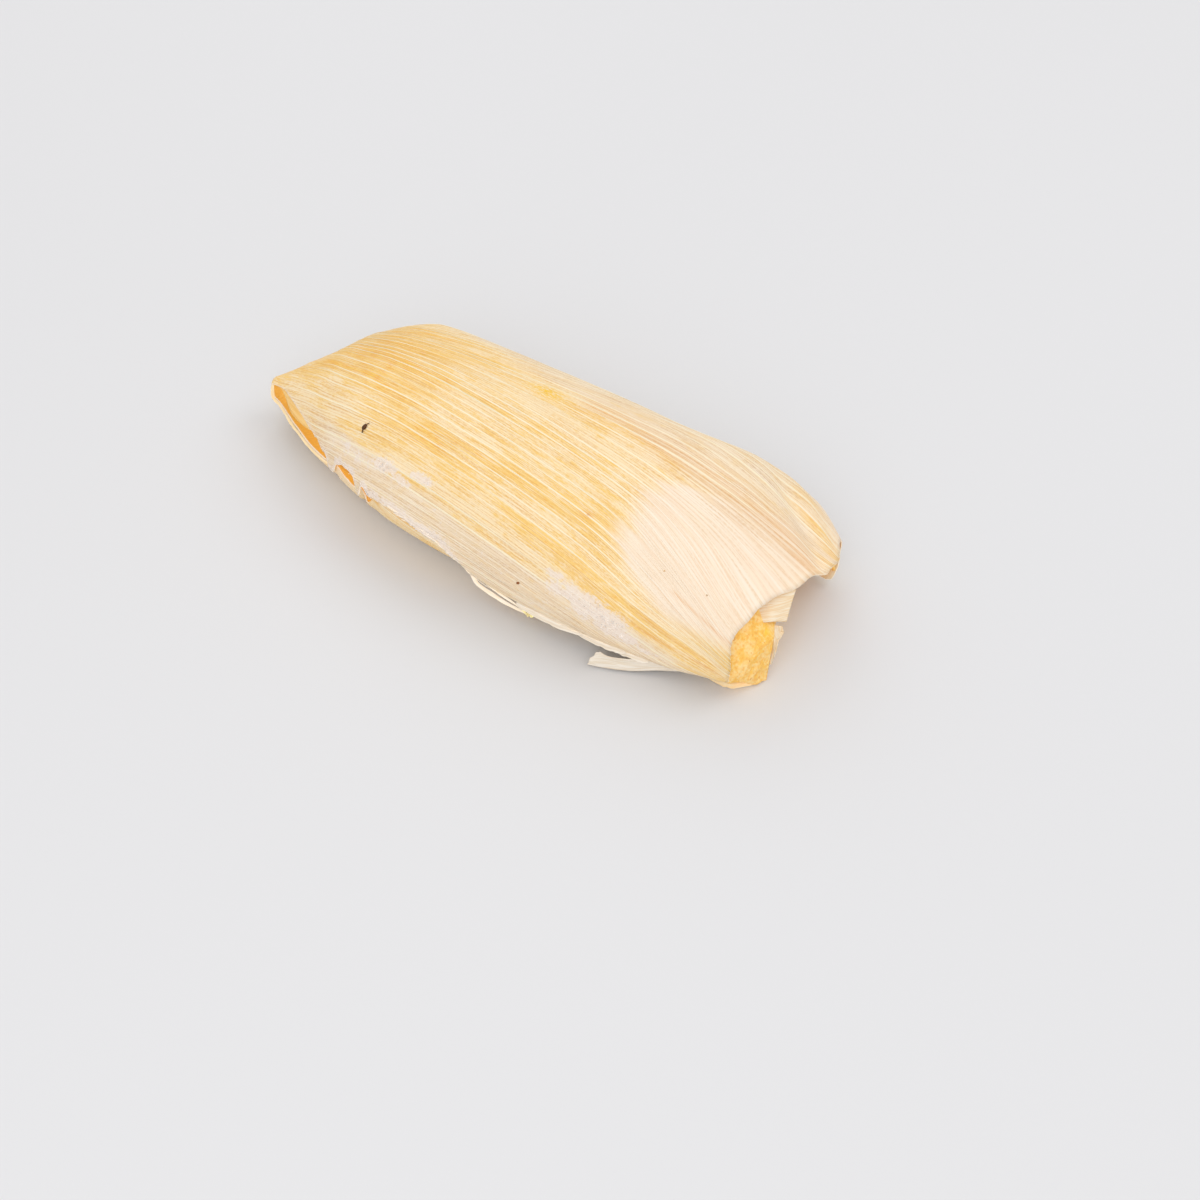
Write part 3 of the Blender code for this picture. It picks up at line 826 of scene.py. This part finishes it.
def make_outer_leaf(materials):
    """The wrapped leaf; returns points on its upper side, with their normals and frost."""
    rows = lay_rows()
    column_veins, bold, panel = lay_columns()
    count = len(column_veins)
    ridge = np.where(bold > 0, 0.05 + 0.11 * bold, pleats(count, 0.024))

    angle = np.empty((len(rows), count))
    vein = np.empty_like(angle)
    for r, x in enumerate(rows):
        table_angle, table_vein = vein_table(x)
        low = np.interp(torn_edge(x), table_angle, table_vein) + torn_offset(x)
        high = np.interp(tucked_edge(x), table_angle, table_vein)
        vein[r] = np.clip(column_veins, low, high)
        angle[r] = np.interp(vein[r], table_vein, table_angle)
    x = rows[:, None] * np.ones_like(angle)

    share = (x - TIP_X) / (END_X - TIP_X)
    ragged_end = 0.16 * wander(vein, 2.6, 51) + 0.10 * wander(vein, 0.8, 52)
    x_at = x + (end_edge(angle) + ragged_end - END_X) * smooth_step(DRAWN_BACK_FROM, 1, share)
    past_torn_edge = angle - 360 - torn_edge(x)
    tucked = smooth_step(-38, -6, past_torn_edge) * smooth_step(*TUCK_RISE, x)
    points = body_point(x_at, angle, TUCK_DEPTH * tucked)
    points[..., 1] -= flare(x, angle)
    upper = smooth_step(-60, -30, angle) * smooth_step(215, 190, angle)
    relief = leaf_relief(x_at, angle, vein, ridge)
    normal = outward(x_at, angle)
    points += normal * (relief * upper)[..., None]
    points[..., 2] = np.maximum(points[..., 2], 0)

    gold, pale, grey = leaf_stains(x_at, angle, vein, panel)
    life = np.clip(0.85 + 0.4 * clouds(x / 16 + 60, panel, 61), 0, 1)
    bright = bold * life * smooth_step(-76, -50, x) * (1 - 0.35 * pale)
    frost = frost_field(x_at, angle, vein)
    # The brown mark: painted shade along the creases and in the gaps under the ragged edge, a brown
    # band along the back, and a real brown spot.
    shades = [0.5 * near_path(x_at, angle, line, 0.4) for line in CREASE_LINES]
    shades += [0.40 * near_path(x_at, angle, BACK_LINES, 3.8), 0.9 * gap_shade(x_at, angle),
               1.1 * spot(x_at, angle, BROWN_SPOT, 1.3, 0.8)]
    brown = np.maximum.reduce(shades)
    yellow = spot(x_at, angle, YELLOW_SPOT, 4.4, 2)

    keep, faces = merge_columns(vein)
    pick = (keep[:, 0], keep[:, 1])
    marks = {"leaf": (x, vein, yellow), "stain": (gold, pale, grey), "mark": (bright, frost, brown)}
    fields = {name: np.stack([field[pick] for field in values], axis=-1)
              for name, values in marks.items()}
    leaf = mesh_object("outer_leaf", points[pick], faces, materials, fields)
    pale_end = x[pick] > PALE_INSIDE_FROM
    for face in leaf.data.polygons:
        face.material_index = 3 if pale_end[face.vertices[0]] else 0
    thicken(leaf, LEAF, inner=1, rim=2)
    piece(leaf, "husk")
    return points[pick], normal[pick], frost[pick]


# ---- The inner leaf ---------------------------------------------------------
TROUGH_START_X = -65
TROUGH_END = ((205, 55), (240, 59), (280, 62.5), (318, 62.5))
SLANT_DEPTH = 1.8
SLANT_FALL = (-58, -44)
LAYER_GAP = 0.9             # between one layer and the next
trough_end = smooth_profile(TROUGH_END)


def tuck_share(x, angle):
    near_front = window(signed(angle), (-75, -30), (14, 45))
    return near_front * smooth_step(*TUCK_RISE, x)


def trough_depth(x, angle):
    slant = SLANT_DEPTH * smooth_step(*SLANT_FALL[::-1], x)
    return LAYER_GAP + TUCK_DEPTH * tuck_share(x, angle) + slant


def make_inner_leaf(material):
    rows, columns = 120, 90
    share = evenly(rows)[:, None]
    angle = np.linspace(TROUGH_END[0][0], TROUGH_END[-1][0], columns)[None, :] * np.ones_like(share)
    ragged = 0.5 * wander(angle, 5, 71)
    x = TROUGH_START_X + (trough_end(angle) + ragged - TROUGH_START_X) * share
    points = body_point(x, angle, trough_depth(x, angle))
    points += outward(x, angle) * (pleats(columns, 0.05) - 0.05)[..., None]
    make_sheet("inner_leaf", points, (x, angle * 0.5, 0 * x), LEAF, material,
               "inner_husk")


# The fold of leaf seen inside the closed end, hanging from under the slanting edge: its
# low edge as (x, angle).
TIP_FOLD_EDGE = ((-70.8, 35), (-69, 22.5), (-67, 1), (-65, -4), (-63, -5.5), (-61, -5), (-59, -4),
                 (-57, -2.5), (-55, -0.5), (-53, 3))
TIP_FOLD_DEPTH = 0.8


def make_tip_fold(material):
    rows, columns = 40, 12
    across = evenly(columns)[None, :]
    x = np.linspace(TIP_FOLD_EDGE[0][0], TIP_FOLD_EDGE[-1][0], rows)[:, None]
    top, low = torn_edge(x) + 7, smooth_profile(TIP_FOLD_EDGE)(x)
    angle = low + (top - low) * across
    x = x * np.ones_like(angle)
    points = body_point(x, angle, TIP_FOLD_DEPTH)
    points[..., 1] -= flare(x, angle)
    points += outward(x, angle) * pleats(columns, 0.03)[None, :, None]
    make_sheet("tip_fold", points, (x, angle * MM_PER_DEGREE, 0 * x), LOOSE_LEAF, material,
               None)


# The rolled rim below the slit, and round the tip's end: (x, angle).
TIP_RIM = ((-46.5, -11), (-49, -12), (-54, -13), (-60, -12), (-63, -12), (-66, -17),
           (-69, -22), (-70.6, -22), (-71.4, -10), (-71.5, 6), (-71.5, 22), (-71.5, 36))


def make_tip_rim(material):
    rim = Scatter()
    at = evenly(90)
    path = on_leaf(*[curve(at) for curve in smooth_curves(TIP_RIM)])
    path[:, 2] += 0.05
    rim.strand(path, 1.05, 0.2, (0.25, -0.7, 0.67), taper=0.4, seed=6)
    rim.build("tip_rim", material, flat=True)


# ---- The dough --------------------------------------------------------------
DOUGH_START_X = -58
DOUGH_SHOULDER = ((-60, 65), (-20, 64.6), (0, 64), (40, 60.5), (90, 55), (150, 53), (200, 54.5),
                  (260, 60), (300, 65), (320, 65))
DOUGH_FOOT = (70.6, -15.6, 0.4)     # of the dough's front corner
DOUGH_REACH = 2.1                   # of the dough's lower front past the layers round it
DOUGH_HEAD = (69.6, -12.8, 11.2)
CORNER_SWELL = 1.6
DOUGH_NOSE = 1.2
DOUGH_NOSE_SIZE = 0.6
HIDDEN_GAP = 0.8                    # more room under the leaf where the dough is hidden
END_GAP = 2.2                       # and more still near the closed end
DOUGH_FLECK = (66.9, -13, 12)       # a bright yellow fleck
dough_shoulder = smooth_profile(DOUGH_SHOULDER)


def dough_depth(x, angle):
    full = np.mod(angle, 360)
    over_trough = smooth_step(185, 203, full) * smooth_step(338, 320, full)
    shown = smooth_step(52, 60, x)
    room = HIDDEN_GAP + END_GAP * smooth_step(-18, -34, x)
    return trough_depth(x, angle) + LAYER_GAP * over_trough + room * (1 - shown) - 0.35 * shown


def crumb_relief(points, scale, seed):
    """Perlin relief of a grainy surface, for points in millimetres."""
    shift = Vector((seed * 17, seed * 5, seed * 29))
    return np.array([noise.noise(Vector(point) / scale + shift) for point in points.tolist()])


DOUGH_COLUMNS = 260


def make_dough(material):
    columns = DOUGH_COLUMNS
    angle = np.arange(columns) * 360 / columns - 90
    angle = np.where(angle < DOUGH_SHOULDER[0][0], angle + 360, angle)
    shoulder = dough_shoulder(angle)
    share = np.concatenate([np.linspace(0, 0.86, 30), np.linspace(0.87, 1, 14)])[:, None]
    x = DOUGH_START_X + (shoulder[None, :] - DOUGH_START_X) * share
    turn = angle[None, :] * np.ones_like(share)
    side = body_point(x, turn, dough_depth(x, turn))
    turned = signed(turn)
    reach = DOUGH_REACH * window(turned, (-88, -55), (5, 40)) * smooth_step(62.4, 65, x)
    side[..., 1] -= reach
    side[..., 2] -= 1.2 * reach * smooth_step(-15, -45, turned)
    blunt = side[0].mean(axis=0)
    start = blunt + (side[0] - blunt) * DOUGH_NOSE_SIZE - [DOUGH_NOSE, 0, 0]
    rim = side[-1]
    foot, head = np.array(DOUGH_FOOT), np.array(DOUGH_HEAD)
    rise = np.clip((rim[:, 2] - foot[2]) / (head[2] - foot[2]), 0, 1)[:, None]
    corner = foot + (head - foot) * rise
    toward_front = smooth_step(60, -30, angle)[:, None]
    bulge = np.array([0.35, -1, 0]) * CORNER_SWELL
    cap = []
    for step in np.linspace(0, 0.985, 100)[1:]:
        cap.append(rim + (corner - rim) * step + bulge * toward_front * np.sin(np.pi * step))
    rows = np.array([start, *side, *cap])
    flat = rows.reshape(-1, 3)
    rough = 0.42 * crumb_relief(flat, 2.6, 1) + 0.22 * crumb_relief(flat, 0.9, 2)
    rough = rough + 0.10 * crumb_relief(flat, 0.4, 3)
    rough = rough.reshape(rows.shape[:2]) * smooth_step(50, 62, rows[..., 0])
    center = np.array([50, CROWN_Y - 4, 8])
    push = rows - center
    push /= np.linalg.norm(push, axis=-1, keepdims=True)
    rows = rows + push * (rough - 0.1)[..., None]
    rows[..., 2] = np.maximum(rows[..., 2], LEAF)
    count = len(rows)
    faces = grid_faces(count, columns, closed=True)
    faces.append(tuple(range(columns)))
    faces.append(tuple(reversed(range((count - 1) * columns, count * columns))))
    fleck = bell(np.linalg.norm(rows - np.array(DOUGH_FLECK), axis=-1), 1.3)
    fields = {"mark": np.stack([fleck, 0 * fleck, 0 * fleck], axis=-1)}
    dough = mesh_object("dough_loaf", rows, faces, [material], fields)
    piece(dough, "dough")


# ---- Loose bits of husk -----------------------------------------------------
FLAP_EDGES = (((60, -11.8, 16.8), (64.8, -8.4, 17.8), (69, -4, 17.6)),
              ((64, -15.4, 14.2), (67, -13.3, 14), (69.6, -8.8, 11.6)))
LIP_EDGES = (((70, -15.6, 3.8), (69.9, -14.6, 6.8), (68.6, -14.1, 11), (66, -11.8, 12)),
             ((70.2, -14.9, 3.3), (70.4, -14.5, 7.9), (70.4, -14, 10.4), (70, -9.9, 9.3),
              (69.6, -10.6, 11.6)))
STRIP_EDGES = (((54.5, -27, 2.9), (48.2, -29.2, 1.6), (42.5, -31.9, 0.7), (38.2, -33.8, 0.6),
                (33, -35.9, 1.1)),
               ((54, -26.7, 5.4), (46.8, -29.4, 4.7), (41, -31.6, 3.4), (37.6, -32.6, 3),
                (35, -33, 3.8)))
RIBBON_GRID = (44, 19)      # rows along a ribbon, and columns across it


def make_ribbon(node, edges, material, seed, fray=0):
    """A thin bit of leaf between two smooth edges, its far end frayed."""
    rows, columns = RIBBON_GRID
    across = evenly(columns)[None, :]
    reach = 1 - fray * (0.5 + 0.5 * wander(across * columns, 2.1, seed)) * np.ones((rows, 1))
    at = evenly(rows)[:, None] * reach
    low, high = [np.stack([curve(at) for curve in smooth_curves(edge)], axis=-1) for edge in edges]
    points = low + (high - low) * across[..., None]
    width = np.linalg.norm(high - low, axis=-1)
    normal = np.cross(np.gradient(points, axis=0), np.gradient(points, axis=1))
    normal /= np.maximum(np.linalg.norm(normal, axis=-1, keepdims=True), 1e-9)
    wave = 0.15 * clouds(at * 5, across * 3 + 0 * at, seed + 40)
    points = points + normal * (pleats(columns, 0.04) + wave)[..., None]
    points[..., 1] += CROWN_Y
    length = np.linalg.norm(points[-1, 0] - points[0, 0])
    make_sheet(node + "_leaf", points, (at * length, across * width, 0 * at), LOOSE_LEAF,
               material, node)


# ---- Fibres, powder and crumbs ----------------------------------------------
def along_leaf(start, end, steps, lift, bow=0):
    """A path on the leaf between two (x, angle) marks, bowed outward at its middle."""
    share = evenly(steps)
    x = start[0] + (end[0] - start[0]) * share
    angle = start[1] + (end[1] - start[1]) * share
    return on_leaf(x, angle, lift + bow * np.sin(np.pi * share))


FIBRE_SPAN = (-22, 48)
FIBRE_COUNT = 44


def make_edge_fibres(material):
    """Fine fibres that come away from the torn edge."""
    rng = np.random.default_rng(81)
    fibres = Scatter()
    for k in range(FIBRE_COUNT):
        x = rng.uniform(*FIBRE_SPAN)
        reach = rng.uniform(1.5, 6)
        start = (x, float(torn_edge(x)) + rng.uniform(0.5, 3))
        end = (x - reach, float(torn_edge(x - reach)) + rng.uniform(-1.5, 2))
        path = along_leaf(start, end, 9, 0.16, bow=rng.uniform(0, 0.2))
        fibres.strand(path, rng.uniform(0.10, 0.24), 0.08, (0, -0.7, 0.7), seed=k)
    fibres.build("edge_fibres", material, flat=True)


# The looped fibre at the lower front: points in millimetres, with Y from the crown line.
LOOP_STRANDS = (((-12, -24.9, 8.2), (-6.5, -27.6, 7.4), (-0.6, -29.6, 6.6), (2.6, -31.2, 5.3),
                 (7, -31.4, 4.3), (10.8, -31.6, 3.8), (16, -31.9, 3.9)),
                ((-2, -29.4, 7), (4, -30.6, 6.4), (8.8, -31.4, 5.7), (15, -31.9, 4.7)))
LOOP_WIDTHS = (0.95, 0.6)
# Slivers of the frayed lower edge: each end's x and its degrees above the torn edge.
SLIVERS = (((13, 2), (30, 1)), ((28.8, -0.6), (41, 2.5)), ((35.7, -1), (46.5, 2)))
SLIVER_LIFT = 0.12


def smooth_path(knots):
    at = evenly(40)
    path = np.stack([curve(at) for curve in smooth_curves(knots)], axis=-1)
    path[:, 1] += CROWN_Y
    return path


def make_fibre_loop(material):
    loop = Scatter()
    for k, (knots, width) in enumerate(zip(LOOP_STRANDS, LOOP_WIDTHS)):
        loop.strand(smooth_path(knots), width, 0.22, (0, -0.75, 0.65), taper=0.3, seed=90 + k)
    loop.build("fibre_loop", material, flat=True)


def make_fringe(material):
    """Blunt slivers of the leaf's frayed lower edge."""
    fringe = Scatter()
    for k, (start, end) in enumerate(SLIVERS):
        start = (start[0], float(torn_edge(start[0])) + start[1])
        end = (end[0], float(torn_edge(end[0])) + end[1])
        path = along_leaf(start, end, 26, SLIVER_LIFT)
        fringe.strand(path, 2.4, 0.10, (0.2, -0.7, 0.65), taper=0.4, seed=95 + k)
    fringe.build("fringe_slivers", material, flat=True)


# The edge of an under layer that lies on the plate below the dough, from the corner out.
END_RIM = ((55, -21.9, 0.9), (60.6, -23.7, 0.65), (63.5, -23.4, 0.55), (65.2, -22.4, 0.55),
           (66.7, -21.1, 0.55), (68.3, -19.5, 0.55), (69.4, -18.2, 0.55))


def make_end_rim(material):
    rim = Scatter()
    rim.strand(smooth_path(END_RIM), 2, 0.4, (0.2, -0.45, 0.9), taper=0.35, seed=7)
    rim.build("end_rim", material, flat=True)


GRAIN_COUNT = 600


def make_frost_grains(material, points, normals, frost):
    """Grains of dried masa, thickest where the leaf is most powdered."""
    rng = np.random.default_rng(82)
    chance = np.clip(frost - 0.45, 0, 1) ** 2
    picks = rng.choice(len(points), size=GRAIN_COUNT, p=chance / chance.sum())
    grains = Scatter()
    for k in picks:
        size = rng.uniform(0.07, 0.15) * (0.6 + 0.6 * frost[k])
        drift = np.cross(normals[k], rng.normal(0, 0.3, 3))
        grains.lump(points[k] + drift - normals[k] * 0.4 * size, size, rng)
    grains.build("frost_grains", material)


# Crumbs of dough: (centre, size), with Y from the crown line.
LOOP_CRUMBS = (((16.4, -32.1, 4.3), 0.65), ((17.4, -32, 4.5), 0.6), ((15.4, -31.8, 4.4), 0.5))
END_CRUMBS = (((70.6, 17.2, 10), 1.2), ((70.5, 18, 7.8), 1.1), ((70.7, 16, 12), 1),
              ((70.4, 18.4, 6), 0.9), ((70.4, 16.2, 9), 1))
CRUMB_GRAINS = 24           # to a crumb
SPECK_GRAINS = 4            # to a speck


def make_crumbs(name, clusters, material):
    rng = np.random.default_rng(83)
    crumbs = Scatter()
    for center, size in clusters:
        center = np.array(center) + [0, CROWN_Y, 0]
        for _ in range(CRUMB_GRAINS):
            place = center + rng.normal(0, 0.42, 3) * size
            crumbs.lump(place, size * rng.uniform(0.35, 0.65), rng)
    crumbs.build(name, material)


# Specks on the leaf: (x, angle) and size.
DARK_SPECKS = (((13.5, 2), 0.40),)
FAINT_SPECKS = (((22.5, 59), 0.26), ((43.5, 51), 0.20), ((54, 51), 0.20))
# The bit of silk: (x, angle) along its thick part, and each thread's ends and width.
SILK = ((-36.8, 41.4), (-36.6, 43.4), (-36.4, 46))
SILK_THREADS = (((-36.5, 39), (-36.8, 42.4), 0.32), ((-36.5, 45), (-35.8, 48.2), 0.2))
SILK_FACING = (0, -0.5, 0.85)


def make_specks(name, marks, material):
    rng = np.random.default_rng(84)
    specks = Scatter()
    for mark, size in marks:
        for _ in range(SPECK_GRAINS):
            x = mark[0] + rng.normal(0, 0.3) * size
            angle = mark[1] + rng.normal(0, 0.6) * size
            specks.lump(on_leaf(x, angle, 0.04), size * rng.uniform(0.5, 0.8), rng)
    specks.build(name, material)


def make_silk_bit(material):
    """A dark bit of corn silk, thick at one end."""
    silk = Scatter()
    x, angle = np.array(SILK).T
    at = evenly(12)
    knots = evenly(len(SILK))
    path = on_leaf(np.interp(at, knots, x), np.interp(at, knots, angle), 0.28)
    silk.strand(path, 1, 0.4, SILK_FACING, taper=0.5, seed=3)
    for start, end, width in SILK_THREADS:
        thread = along_leaf(start, end, 8, 0.25)
        silk.strand(thread, width, 0.6 * width, SILK_FACING, taper=0.4, seed=4)
    silk.build("silk_bit", material)


# ---- Stage ------------------------------------------------------------------
CAMERA_AT = (149.86, -310.40, 341.78)
CAMERA_AIM = (31.03, -24.18, 12)
CAMERA_ROLL = 7.31
LENS = 60.15
# Lights: name, place in metres, width and power.
LIGHTS = (("key", (0.40, 0.38, 0.68), 0.6, 1.25),
          ("rear", (-0.50, 0.55, 0.50), 0.6, 0.9),
          ("fill", (0.1, -0.8, 0.6), 0.9, 3))
LIGHT_COLOR = (0.95, 0.98, 1)
SKY_COLOR = (1, 0.982, 0.968, 1)
SKY_STRENGTH = 0.74
FLOOR_SIZE = 6
FLOOR_Z = -0.00005


def look_at(place, aim, unit=1):
    """A matrix at a place, with its -Z toward the aim."""
    look = Vector(aim) - Vector(place)
    turn = look.to_track_quat("-Z", "Y").to_matrix().to_4x4()
    return Matrix.Translation(Vector(place) * unit) @ turn


def make_camera():
    data = bpy.data.cameras.new("camera")
    data.lens = LENS
    data.sensor_width = 36
    data.clip_start = 0.01
    data.clip_end = 50
    camera = bpy.data.objects.new("camera", data)
    bpy.context.scene.collection.objects.link(camera)
    roll = Matrix.Rotation(np.radians(CAMERA_ROLL), 4, "Z")
    camera.matrix_world = look_at(CAMERA_AT, CAMERA_AIM, MM) @ roll
    bpy.context.scene.camera = camera


def make_area_light(name, place, size, power):
    data = bpy.data.lights.new(name, "AREA")
    data.shape = "DISK"
    data.size = size
    data.energy = power
    data.color = LIGHT_COLOR
    light = bpy.data.objects.new(name, data)
    bpy.context.scene.collection.objects.link(light)
    light.matrix_world = look_at(place, (0, 0, 0))


def make_stage():
    g = Graph("pale_floor", 0.6)
    shade = g.space_noise(3, detail=1)
    paint = g.finish(g.mix(shade, rgb(225, 225, 227), rgb(227, 227, 229)))
    bpy.ops.mesh.primitive_plane_add(size=FLOOR_SIZE, location=(0, 0, FLOOR_Z))
    floor = bpy.context.object
    floor.name = "floor"
    floor.data.materials.append(paint)
    world = bpy.data.worlds.new("studio")
    bpy.context.scene.world = world
    world.use_nodes = True
    background = world.node_tree.nodes["Background"]
    background.inputs["Color"].default_value = SKY_COLOR
    background.inputs["Strength"].default_value = SKY_STRENGTH
    for light in LIGHTS:
        make_area_light(*light)
    bpy.context.scene.view_settings.view_transform = "Standard"


def main():
    make_camera()
    make_stage()
    gold_inside = inside_material("husk_inside", (240, 206, 134), (230, 188, 110), 0.225)
    pale_inside = inside_material("husk_inside_pale", (252, 232, 198), (246, 216, 170), 0)
    leaf, edge = leaf_material(), edge_material()
    # Outer face, inner face and rim, where the inside is gold and then where it is pale.
    materials = [leaf, gold_inside, edge, leaf, pale_inside, edge]
    points, normals, frost = make_outer_leaf(materials)
    make_inner_leaf(gold_inside)
    dough = dough_material()
    make_dough(dough)
    straw = strip_material("husk_straw", (254, 238, 212), (246, 216, 172))
    pale = strip_material("husk_strip", (247, 238, 224), (236, 221, 199))
    make_tip_fold(strip_material("husk_fold", (248, 210, 142), (238, 190, 108), glow=0.08))
    rim = strip_material("husk_rim", (253, 232, 192), (250, 220, 168), glow=0.08)
    make_tip_rim(rim)
    make_ribbon("inner_flap", FLAP_EDGES, straw, seed=3)
    make_ribbon("end_lip", LIP_EDGES, straw, seed=4)
    make_ribbon("torn_strip", STRIP_EDGES, pale, seed=5, fray=0.05)
    make_edge_fibres(edge)
    make_fibre_loop(edge)
    make_fringe(pale)
    make_end_rim(rim)
    masa = plain_material("dried_masa", (244, 232, 224), roughness=0.8, glow=0.06)
    make_frost_grains(masa, points, normals, frost)
    make_crumbs("loop_crumbs", LOOP_CRUMBS, plain_material("dry_dough", (252, 232, 170), glow=0.2))
    make_crumbs("end_crumbs", END_CRUMBS, dough)
    make_specks("dark_specks", DARK_SPECKS, plain_material("dark_speck", (150, 92, 52)))
    make_specks("faint_specks", FAINT_SPECKS, plain_material("faint_speck", (226, 186, 136)))
    make_silk_bit(plain_material("dark_silk", (92, 58, 30), roughness=0.6))


main()
